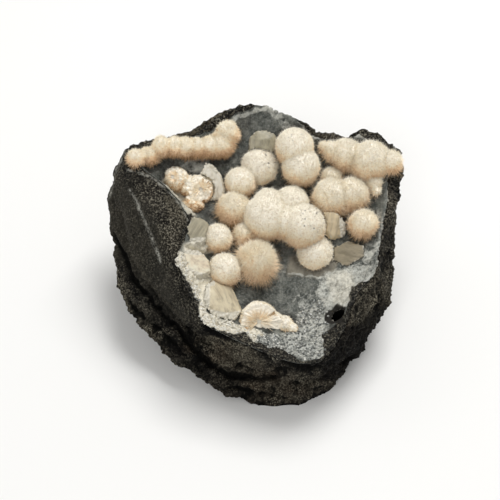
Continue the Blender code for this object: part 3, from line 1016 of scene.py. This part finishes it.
def ball_centre(ball):
    """A ball's centre, from its place and how far it stands out of the floor, as a share of its radius."""
    x, y, radius, lift = ball
    x, y = (x + ORIGIN_SHIFT.x) * MM, (y + ORIGIN_SHIFT.y) * MM
    return Vector((x, y, ground_height(x, y) + lift * radius * MM))


def ball_group(name, balls):
    """The balls of one piece, and a smaller ball wherever two of them have grown together."""
    made = [(ball_centre(b), b[2] * MM) for b in balls]
    return made + [((made[i][0] + made[j][0]) / 2, r * MM) for i, j, r in BRIDGES.get(name, ())]


centres = {name: ball_group(name, balls) for name, balls in BALLS.items()}
print("balls", sum(len(b) for b in centres.values()))

# %% [markdown]
# Okenite is white, but a coat of needles looks warmer and darker wherever light goes in between them: low on a ball, in
# the gaps between tufts and at the roots. That is painted into the colour: painted light on top of a ball and painted
# shade below, at the roots and in the gaps. So the colour follows `rise`, which is 1 on top of a ball and 0 underneath,
# and it is broken up by noise of the size of a tuft. Subsurface scattering would do this too, but it is slow and looks
# waxy at this size.

# %% The okenite's finish
WHITE_LIT_AND_SHADED = (
    (0.0, (0.42, 0.24, 0.11)), (0.2, (0.78, 0.54, 0.32)), (0.42, (1.0, 0.82, 0.58)), (0.62, (1.0, 0.93, 0.76)),
    (0.88, (1.0, 0.97, 0.87)),
)
RAY_TONES = ((0.2, (0.5, 0.34, 0.19)), (0.4, (0.86, 0.7, 0.5)), (0.55, (1.0, 0.93, 0.79)))
ROOT_SHADE = (0.5, 0.33, 0.19)
NEEDLE_TAN = (0.55, 0.4, 0.25)
GAP_SHADE = (0.5, 0.36, 0.23)
STIPPLE_TAN = (0.52, 0.36, 0.22)
CRUMB = (0.06, 0.055, 0.045)


def okenite_finish():
    made, tree, shader = new_material("okenite_needles")
    rise = attribute(tree, "rise")
    along = attribute(tree, "along")
    tone = attribute(tree, "tone")
    place = object_place(tree)
    patchy = grain(tree, place, 260, 4, 0.6)
    tufts = grain(tree, place, 1250, 2, 0.6)
    level = plus(tree, rise, times(tree, minus(tree, patchy, 0.5), 0.4))
    level = plus(tree, level, times(tree, minus(tree, tufts, 0.5), 0.6))
    # Painted light on top of a ball and painted shade underneath, by rise.
    body = ramp(tree, level, WHITE_LIT_AND_SHADED)
    # Painted shade at the roots of the needles.
    root = mix(tree, 0.12, body, ROOT_SHADE)
    colour = mix(tree, ramp(tree, along, ((0.0, 0.0), (0.3, 1.0))), root, body)
    colour = mix(tree, times(tree, tone, 0.06), colour, NEEDLE_TAN)
    # Painted shade in the gaps between tufts.
    colour = mix(tree, ramp(tree, tufts, ((0.3, 0.3), (0.46, 0.0))), colour, GAP_SHADE)
    stipple = ramp(tree, cells(tree, place, 1150), ((0.1, 0.5), (0.34, 0.0)))
    colour = mix(tree, stipple, colour, STIPPLE_TAN)
    speck = ramp(tree, cells(tree, place, 680), ((0.14, 1.0), (0.28, 0.0)))
    speck = times(tree, speck, attribute(tree, "specks"))
    colour = mix(tree, speck, colour, CRUMB)
    streaks = ramp(tree, attribute(tree, "ray"), RAY_TONES)
    colour = mix(tree, attribute(tree, "broken"), colour, streaks)
    feed(tree, shader.inputs["Base Color"], colour)
    shader.inputs["Roughness"].default_value = 0.75
    shader.inputs["Specular IOR Level"].default_value = 0.3
    return made


okenite = okenite_finish()
print("finish", okenite.name)

# %% [markdown]
# The needles themselves repeat by the ten thousand, so Geometry Nodes place them. The tree scatters points on the
# core, turns a spike to each point's normal with a little random lean, and writes on each spike how far along it a
# point is, and a random tone for the whole spike. The core says where spikes may grow and how long they are there.
# Realize Instances makes it real mesh, and the result is kept as a plain mesh. The same tree with a blunt six-sided
# spike makes the tiny crystals on the lining.

# %% The tree that grows spikes on a surface
TREE_INPUTS = (
    ("Density", "Float", 9e6), ("Length", "Float", 0.9 * MM), ("Width", "Float", 0.12 * MM), ("Lean", "Float", 0.3),
    ("Sides", "Int", 3), ("Tip", "Float", 0.0), ("Seed", "Int", 1), ("Finish", "Material", None),
)


def empty_tree(name):
    """A new tree with its inputs and its output, and nothing between them."""
    tree = bpy.data.node_groups.new(name, "GeometryNodeTree")
    face = tree.interface
    face.new_socket("Core", in_out="INPUT", socket_type="NodeSocketGeometry")
    for label, kind, value in TREE_INPUTS:
        socket = face.new_socket(label, in_out="INPUT", socket_type=f"NodeSocket{kind}")
        if value is not None:
            socket.default_value = value
    face.new_socket("Spikes", in_out="OUTPUT", socket_type="NodeSocketGeometry")
    return tree


def number_on(tree, name):
    """The numbers painted on the core's points under a name."""
    return add(tree, "GeometryNodeInputNamedAttribute", data_type="FLOAT", Name=name).outputs["Attribute"]


def random_number(tree, low, high):
    """A random number for each spike."""
    made = add(tree, "FunctionNodeRandomValue", data_type="FLOAT")
    made.inputs[2].default_value = low
    made.inputs[3].default_value = high
    return made.outputs[1]


def growth_tree(name, ends):
    """The whole tree; the ends of its spikes are closed with NGON and open with NONE."""
    tree = empty_tree(name)

    def node(kind, links=None, **values):
        return add(tree, kind, links, **values)

    given = node("NodeGroupInput").outputs
    density = times(tree, given["Density"], number_on(tree, "free"))
    scatter = node("GeometryNodeDistributePointsOnFaces", {
        "Mesh": given["Core"], "Density": density, "Seed": given["Seed"]})
    spike = node("GeometryNodeMeshCone", {"Vertices": given["Sides"], "Radius Top": given["Tip"]}, fill_type=ends,
                 Radius_Bottom=1.0, Depth=1.0)
    height = node("ShaderNodeSeparateXYZ", {0: node("GeometryNodeInputPosition").outputs[0]})
    marked = node("GeometryNodeStoreNamedAttribute", {"Geometry": spike.outputs["Mesh"], "Value": height.outputs["Z"]},
                  data_type="FLOAT", domain="POINT", Name="along")

    lean = node("FunctionNodeRandomValue", data_type="FLOAT_VECTOR")
    lean.inputs[0].default_value = (-1, -1, -1)
    lean.inputs[1].default_value = (1, 1, 1)
    leaning = node("ShaderNodeVectorMath", {0: lean.outputs[0], "Scale": given["Lean"]}, operation="SCALE")
    aim = node("ShaderNodeVectorMath", {0: scatter.outputs["Normal"], 1: leaning.outputs[0]}, operation="ADD")
    turn = node("FunctionNodeAlignRotationToVector", {"Vector": aim.outputs[0]}, axis="Z")
    longest = times(tree, given["Length"], number_on(tree, "hair"))
    tall = times(tree, longest, random_number(tree, 0.5, 1.0))
    shape = node("ShaderNodeCombineXYZ", {"X": given["Width"], "Y": given["Width"], "Z": tall})
    placed = node("GeometryNodeInstanceOnPoints", {
        "Points": scatter.outputs["Points"], "Instance": marked.outputs["Geometry"],
        "Rotation": turn.outputs["Rotation"], "Scale": shape.outputs[0]})
    toned = node("GeometryNodeStoreNamedAttribute", {
        "Geometry": placed.outputs["Instances"], "Value": random_number(tree, 0, 1)},
                 data_type="FLOAT", domain="INSTANCE", Name="tone")
    real = node("GeometryNodeRealizeInstances", {"Geometry": toned.outputs["Geometry"]})
    coat = node("GeometryNodeSetMaterial", {"Geometry": real.outputs["Geometry"], "Material": given["Finish"]})
    node("NodeGroupOutput", {"Spikes": coat.outputs["Geometry"]})
    return tree


needle_coat = growth_tree("needle_coat", "NONE")
crystal_coat = growth_tree("crystal_coat", "NGON")


def grown(core, name, tree, **values):
    """The result of a tree on a copy of the core, as a plain mesh object."""
    made = linked(name, core.data.copy())
    step = made.modifiers.new("growth", "NODES")
    step.node_group = tree
    ids = {item.name: item.identifier for item in tree.interface.items_tree if item.in_out == "INPUT"}
    for key, value in values.items():
        step[ids[key]] = value
    return baked(made)


print("growth trees", len(needle_coat.nodes), "nodes each")

# %% [markdown]
# The balls differ in how fluffy they are. Each has the plain coat, and what differs is listed with its name: lengths
# and widths in millimetres, and how many needles and hairs grow on a square millimetre. The inset keeps the core
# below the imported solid's surface, so the needles' tips reach about as far as the solid does. The tan makes a ball
# browner, and lumps and cracks roughen its core. Two pieces have broken faces, each given by its ball, the way it
# faces and how far it is from the centre as a share of the radius. A few places on the balls have dark specks or a
# tan of their own.

# %% Coats and breaks
COAT = {
    "length": 0.85, "inset": 0.6, "density": 9.0, "lean": 0.35, "width": 0.11, "tan": 0.0, "hairs": 2.6, "hair": 1.7,
    "lumps": 0.0, "cracks": 0.0,
}
COATS = {
    "puffball_fluffy": {
        "length": 2.3, "inset": 1.9, "width": 0.09, "lean": 0.4, "tan": 0.04, "hairs": 4.0, "hair": 3.1,
    },
    "puffball_right": {"length": 1.3, "inset": 1.0, "tan": 0.08, "hairs": 3.2, "hair": 2.2},
    "puffballs_right_group": {"length": 1.3, "inset": 1.0, "tan": 0.06, "hairs": 3.2, "hair": 2.3},
    "puffball_left_middle": {"length": 1.4, "inset": 1.1, "tan": 0.09, "hairs": 3.2, "hair": 2.3},
    "puffball_small": {"length": 1.4, "inset": 1.1, "tan": 0.09, "hairs": 3.2, "hair": 2.3},
    "puffballs_right_bank": {"length": 1.2, "inset": 0.8, "tan": 0.02, "hairs": 3.2, "hair": 2.2, "lumps": 0.9},
    "puffballs_rim_row": {"length": 1.1, "inset": 1.0, "tan": 0.09, "hairs": 3.2, "hair": 1.3, "lumps": 1.1},
    "puffballs_broken_left": {"length": 0.5, "inset": 0.5, "hairs": 0.8, "hair": 1.0, "lumps": 1.0, "cracks": 1.0},
    "puffball_front_broken": {"length": 0.6, "inset": 0.4, "hairs": 1.0, "hair": 1.0, "lumps": 0.4, "cracks": 0.5},
    "puffballs_middle": {"tan": -0.06},
    "puffball_back": {"tan": -0.08},
    "puffballs_back_pair": {"tan": -0.04},
}
BREAKS = {
    "puffball_front_broken": ((0, (0.15, -0.8, 0.55), 0.15),),
    "puffballs_broken_left": ((2, (0.2, -0.75, 0.65), 0.45), (0, (-0.3, -0.5, 0.8), 0.75)),
}
SPECKED = (
    (field([(264, 152), (276, 149), (285, 156), (283, 166), (270, 167), (262, 161)], 3), 0.8),
    (field([(303, 211), (316, 209), (326, 218), (324, 230), (310, 232), (302, 224)], 3), 0.9),
    (field([(284, 130), (300, 126), (306, 134), (298, 142), (286, 140)], 3), 0.35),
    (field([(206, 182), (214, 186), (212, 196), (202, 196), (198, 188)], 3), 0.7),
)
TANNED = (
    (field([(186, 200), (202, 202), (204, 216), (190, 216)], 4), 0.2),
    (field([(214, 204), (232, 214), (234, 226), (220, 226), (212, 214)], 5), 0.06),
    (stripe([(150, 160), (172, 152), (190, 156), (203, 152), (218, 158), (235, 148)], 1, 7), 0.12),
    (field([(256, 232), (262, 252), (250, 262), (238, 250), (246, 236)], 5), 0.12),
)
print("coats", len(COATS), "breaks", sum(len(b) for b in BREAKS.values()))

# %% [markdown]
# The core carries all that its needles need: `free` is where they may grow, `hair` how long they are there, and `rise`
# their colour. What would be more than 0.4 mm below the lining is raised to there, because nothing shows under it. On
# a broken face the points are moved back onto a plane with ridges that run away from its middle, like the needles
# inside a ball.

# %% Cores of the balls
CORE_VOXEL = 0.5 * MM
BROKEN_VOXEL = 0.3 * MM
BELOW_LINING = 0.4
SKY = Vector((0.0, 0.05, 1.0)).normalized()


def named(node, word):
    """A piece's name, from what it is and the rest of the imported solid's name."""
    return word + "_" + node.split("_", 1)[1]


def radial(p, foot, facing):
    """Noise on a broken face that runs in rays away from its middle, around 0."""
    away = p - foot
    away -= facing * away.dot(facing)
    distance = max(away.length, 1e-6)
    return noise.fractal(away / distance * 5 + Vector((distance / MM / 5, 0, 0)), 0.8, 2.2, 3)


def broken_flat(p, name):
    """A point moved back to a ball's broken face, and how much of it is broken."""
    for index, facing, share in BREAKS.get(name, ()):
        centre, radius = centres[name][index]
        facing = Vector(facing).normalized()
        out = (p - centre).dot(facing) - share * radius
        if out > 0 and (p - centre).length < radius * 1.25:
            ray = radial(p, centre + facing * share * radius, facing)
            rim = (p - centre).length / radius - 0.6
            return p - facing * (out - 0.4 * MM * ray), 1.0, 0.48 + 0.7 * ray + 0.7 * rim
    return p, 0.0, 0.5


def ball_core(name, look):
    """The joined cores of one piece, flattened a little under the lining, with their marks painted on."""
    bm = bmesh.new()
    for centre, radius in centres[name]:
        place = Matrix.Translation(centre)
        bmesh.ops.create_icosphere(bm, subdivisions=4, radius=radius - look["inset"] * MM, matrix=place)
    balls = linked(named(name, "core"), mesh_from(bm, name))
    core = remeshed(balls, BROKEN_VOXEL if name in BREAKS else CORE_VOXEL, 2)
    paint = {"rise": [], "free": [], "hair": [], "ray": [], "broken": [], "specks": []}
    for v, normal in points_and_normals(core.data):
        centre, radius = min(centres[name], key=lambda c: (v.co - c[0]).length - c[1])
        rise = 0.5 + 0.5 * (v.co - centre).dot(SKY) / radius - look["tan"]
        v.co, broken, ray = broken_flat(v.co, name)
        floor = ground_height(v.co.x, v.co.y)
        depth = (floor - v.co.z) / MM
        if depth > BELOW_LINING:
            v.co.z = floor - BELOW_LINING * MM
        elif not broken:
            v.co += normal * (0.22 * noise.noise(v.co / MM / 2.2) + 0.16 * noise.noise(v.co / MM / 0.8)) * MM
            v.co += normal * look["lumps"] * 0.6 * noise.noise(v.co / MM / 3) * MM
        if look["cracks"]:
            crack = crag(v.co / MM / 1.7 + Vector((0, 0.4, 0)) * noise.noise(v.co / MM))
            v.co += normal * look["cracks"] * 0.3 * crack * MM
            # Painted shade in the cracks.
            rise -= look["cracks"] * 0.32 * smooth_step(-0.3, -1.0, crack)
        tuft = 1.0 + 0.45 * noise.noise(v.co / MM / 1.3)
        u, w = pixel_of(v.co)
        rise -= strongest(TANNED, u, w)
        free = 0.0 if depth > 0.2 or broken else 1.0
        hair = (1.0 + 1.1 * smooth_step(0.55, 0.2, rise)) * tuft
        specks = strongest(SPECKED, u, w) if rise > 0.55 else 0.0
        for label, value in zip(paint, (rise, free, hair, ray, broken, specks)):
            paint[label].append(value)
    painted(core.data, paint)
    return core


print("core voxels", round(CORE_VOXEL / MM, 2), "and", round(BROKEN_VOXEL / MM, 2), "mm")

# %% [markdown]
# A dense coat of short needles alone looks like felt. The thin hairs that stand out of it give the balls their soft
# outline. Each ball prints the faces of its core, its coat and its hairs.

# %% Needles on the cores
HAIR_WIDTH = 0.06 * MM
HAIR_LEAN = 0.55
HAIR_SEEDS = 100


def dress_balls(name, seed):
    """A core with a dense coat of short needles, and thinner hairs that stand out of it."""
    look = {**COAT, **COATS.get(name, {})}
    core = ball_core(name, look)
    core.data.materials.append(okenite)
    coat = grown(core, named(name, "needles"), needle_coat, Density=look["density"] / MM ** 2,
                 Length=look["length"] * MM, Width=look["width"] * MM, Lean=look["lean"], Seed=seed, Finish=okenite)
    hairs = grown(core, named(name, "hairs"), needle_coat, Density=look["hairs"] / MM ** 2,
                  Length=look["hair"] * MM, Width=HAIR_WIDTH, Lean=HAIR_LEAN, Seed=HAIR_SEEDS + seed, Finish=okenite)
    for piece in (core, coat, hairs):
        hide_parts(name)
        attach(piece, "root")
    return [len(piece.data.polygons) for piece in (core, coat, hairs)]


for seed, name in enumerate(BALLS, 1):
    print(name, dress_balls(name, seed))

# %% [markdown]
# On a broken ball the needles show from the side, as rays that spread from its middle. A small dome at the middle
# grows them with the same tree, long and thin, and only in the directions that lie near the broken face.

# %% Rays on the broken balls
DOME = 0.9 * MM
RAY_WIDTH = 0.2 * MM
RAY_DENSITY = 60 / MM ** 2
RAY_SPREAD = 0.45
LOWEST_RAY = -0.35
RAY_SEEDS = 40


def dress_rays(name, number, index, facing, share):
    """Rays on one broken face, which is given by its ball, the way it faces and its distance from the centre."""
    centre, radius = centres[name][index]
    facing = Vector(facing).normalized()
    start = centre + facing * (share * radius + 0.05 * MM)
    reach = math.sqrt(max(0.0, 1 - share * share)) * radius
    bm = bmesh.new()
    bmesh.ops.create_icosphere(bm, subdivisions=4, radius=DOME, matrix=Matrix.Translation(start))
    dome = linked(f"seed_dome_{number}", mesh_from(bm, name))
    free = []
    for v in dome.data.vertices:
        way = (v.co - start).normalized()
        free.append(1.0 if 0.0 < way.dot(facing) < RAY_SPREAD and way.z > LOWEST_RAY else 0.0)
    painted(dome.data, {"free": free, "rise": [0.5] * len(free), "hair": [1.0] * len(free)})
    rays = grown(dome, f"rays_{number}", needle_coat, Density=RAY_DENSITY, Length=reach - DOME, Width=RAY_WIDTH,
                 Lean=0.12, Seed=RAY_SEEDS + number, Finish=okenite)
    bpy.data.objects.remove(dome)
    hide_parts(name)
    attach(rays, "root")
    return len(rays.data.polygons)


for number, (name, where) in enumerate([(n, b) for n, breaks in BREAKS.items() for b in breaks], 1):
    print("rays on", name, dress_rays(name, number, *where))

# %% [markdown]
# ## Sugar on the lining
#
# Along the left rim and the front lip the lining ends in tiny clear and white crystals, like coarse sugar. They are
# blunt six-sided spikes from the same tree, scattered where the lining was painted for them.

# %% The sugar crystals
COLD_TONES = ((0.0, (0.07, 0.075, 0.07)), (0.5, (0.3, 0.31, 0.29)), (1.0, (0.85, 0.84, 0.77)))
WARM_TONES = ((0.0, (0.6, 0.54, 0.42)), (0.4, (0.86, 0.81, 0.69)), (1.0, (0.97, 0.95, 0.87)))
CRYSTAL_IOR = 1.54
SUGAR_SEED = 61


def sugar_finish():
    made, tree, shader = new_material("sugar_crystals")
    tone = attribute(tree, "tone")
    colour = mix(tree, attribute(tree, "cream"), ramp(tree, tone, COLD_TONES), ramp(tree, tone, WARM_TONES))
    feed(tree, shader.inputs["Base Color"], colour)
    shader.inputs["Roughness"].default_value = 0.3
    shader.inputs["Transmission Weight"].default_value = 0.25
    shader.inputs["IOR"].default_value = CRYSTAL_IOR
    return made


painted(lining.data, {"hair": [1.0] * len(lining.data.vertices)})
sugar = grown(lining, "sugar_crystals", crystal_coat, Density=1.6 / MM ** 2, Length=0.65 * MM, Width=0.42 * MM,
              Lean=0.9, Sides=6, Tip=0.6, Seed=SUGAR_SEED, Finish=sugar_finish())
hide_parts("vug_lining")
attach(sugar, "root")
print("sugar", len(sugar.data.polygons), "faces")

# %% [markdown]
# ## The cloudy crystals
#
# The crystals are milky, with a grey-green or beige tint, and let some light through at their edges. Their imported
# solids have the flat faces. The edges are worn and toothed, and fine growth lines run along each crystal. Each has its
# tint, the way its lines run, and how many rounds it is smoothed.

# %% The crystals' finish
CRUST_WHITE = (0.86, 0.81, 0.68)
CRYSTALS = {
    "crystal_back": ((0.42, 0.38, 0.26), (0.1, 0.3, 1.0), 4),
    "crystal_left_back": ((0.98, 0.88, 0.68), (0.2, 0.4, 1.0), 30),
    "crystal_right": ((0.73, 0.59, 0.375), (0.15, 0.6, 0.8), 8),
    "crystal_right_low": ((0.345, 0.29, 0.19), (1.0, -0.3, 0.0), 3),
    "crystal_left_high": ((0.5, 0.45, 0.32), (0.5, 0.8, 0.3), 6),
    "crystal_left_low": ((0.95, 0.78, 0.565), (0.8, -0.4, 0.2), 3),
    "crystal_front": ((0.75, 0.64, 0.45), (0.55, -0.8, -0.1), 2),
}


def crystal_finish(name, tint, axis):
    made, tree, shader = new_material(name)
    place = object_place(tree)
    lie = Vector(axis).normalized().to_track_quat("Z", "Y").to_euler()
    along = add(tree, "ShaderNodeMapping", {"Vector": place}, vector_type="TEXTURE", Rotation=lie, Scale=(1, 1, 9))
    lines = grain(tree, along.outputs[0], 650, 3, 0.65)
    haze = grain(tree, place, 150, 4, 0.65)
    fine = grain(tree, place, 1000, 3, 0.8)
    pale = tuple(min(1.0, c * 1.3 + 0.07) for c in tint)
    deep = tuple(c * 0.62 for c in tint)
    colour = mix(tree, ramp(tree, haze, ((0.3, 0.0), (0.7, 0.8))), tint, pale)
    colour = mix(tree, ramp(tree, lines, ((0.36, 0.7), (0.54, 0.0))), colour, deep)
    colour = mix(tree, ramp(tree, lines, ((0.56, 0.0), (0.7, 0.6))), colour, pale)
    crumbly = plus(tree, attribute(tree, "chip"), times(tree, fine, 0.4))
    colour = mix(tree, ramp(tree, crumbly, ((0.5, 0.0), (0.9, 1.0))), colour, CRUST_WHITE)
    feed(tree, shader.inputs["Base Color"], colour)
    feed(tree, shader.inputs["Roughness"], ramp(tree, haze, ((0.3, 0.6), (0.7, 0.36))))
    shader.inputs["Transmission Weight"].default_value = 0.35
    shader.inputs["IOR"].default_value = CRYSTAL_IOR
    coarse = bump(tree, shader, lines, 0.3, 0.25 * MM)
    bump(tree, shader, haze, 0.25, 0.5 * MM, coarse)
    return made


print("crystals", len(CRYSTALS))

# %% [markdown]
# A bevel wears the edges first, and the remesh then gives enough points for chips. Where a point's normal differs from
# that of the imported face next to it, the point is on an edge, and there the chips are deepest.

# %% The crystals
EDGE_WEAR = 0.35 * MM
EDGE_ANGLE = math.radians(20)
CRYSTAL_VOXEL = 0.32 * MM
CHIPPED = (
    field([(176, 262), (186, 268), (200, 274), (214, 276), (214, 284), (200, 286), (186, 282)], 3),
    field([(188, 240), (200, 238), (212, 240), (212, 252), (198, 254), (184, 252)], 3),
    field([(196, 322), (208, 311), (226, 315), (246, 312), (248, 334), (220, 332)], 5),
    field([(196, 286), (208, 286), (208, 304), (204, 318), (194, 312)], 4),
    field([(342, 206), (350, 214), (352, 240), (342, 240), (340, 222)], 2),
    field([(204, 158), (214, 158), (222, 170), (216, 174), (206, 166)], 1),
)


def dress_crystal(name, tint, axis, rounding):
    crystal = merged_copy(name, name.replace("crystal", "cloudy"))
    edge = crystal.modifiers.new("worn edges", "BEVEL")
    edge.width = EDGE_WEAR
    edge.segments = 2
    edge.limit_method = "ANGLE"
    edge.angle_limit = EDGE_ANGLE
    baked(crystal)
    remeshed(crystal, CRYSTAL_VOXEL, rounding)
    skin = skin_tree(NODES[name])
    chip = []
    for v, normal in points_and_normals(crystal.data):
        p = v.co / MM
        face = skin.find_nearest(v.co)[1]
        bend = 1 - abs(normal.dot(face))
        worn = smooth_step(0.002, 0.06, bend)
        v.co += normal * (0.1 * noise.fractal(p / 1.6, 0.8, 2.0, 3) + worn * (0.3 * crag(p / 1.1) - 0.1)) * MM
        u, w = pixel_of(v.co)
        chipped_here = max(at(u, w) for at in CHIPPED)
        v.co += normal * chipped_here * 0.3 * crag(p / 1.2) * MM
        chip.append(max(chipped_here * 0.9, worn * (0.55 + 0.9 * noise.noise(p / 2.2))))
    painted(crystal.data, {"chip": chip})
    finished(crystal, crystal_finish(crystal.name, tint, axis))
    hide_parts(name)
    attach(crystal, "root")
    return len(crystal.data.polygons)


for name, (tint, axis, rounding) in CRYSTALS.items():
    print(name, dress_crystal(name, tint, axis, rounding))

# %% [markdown]
# ## The end

# %% The end
print("specimen dressed")
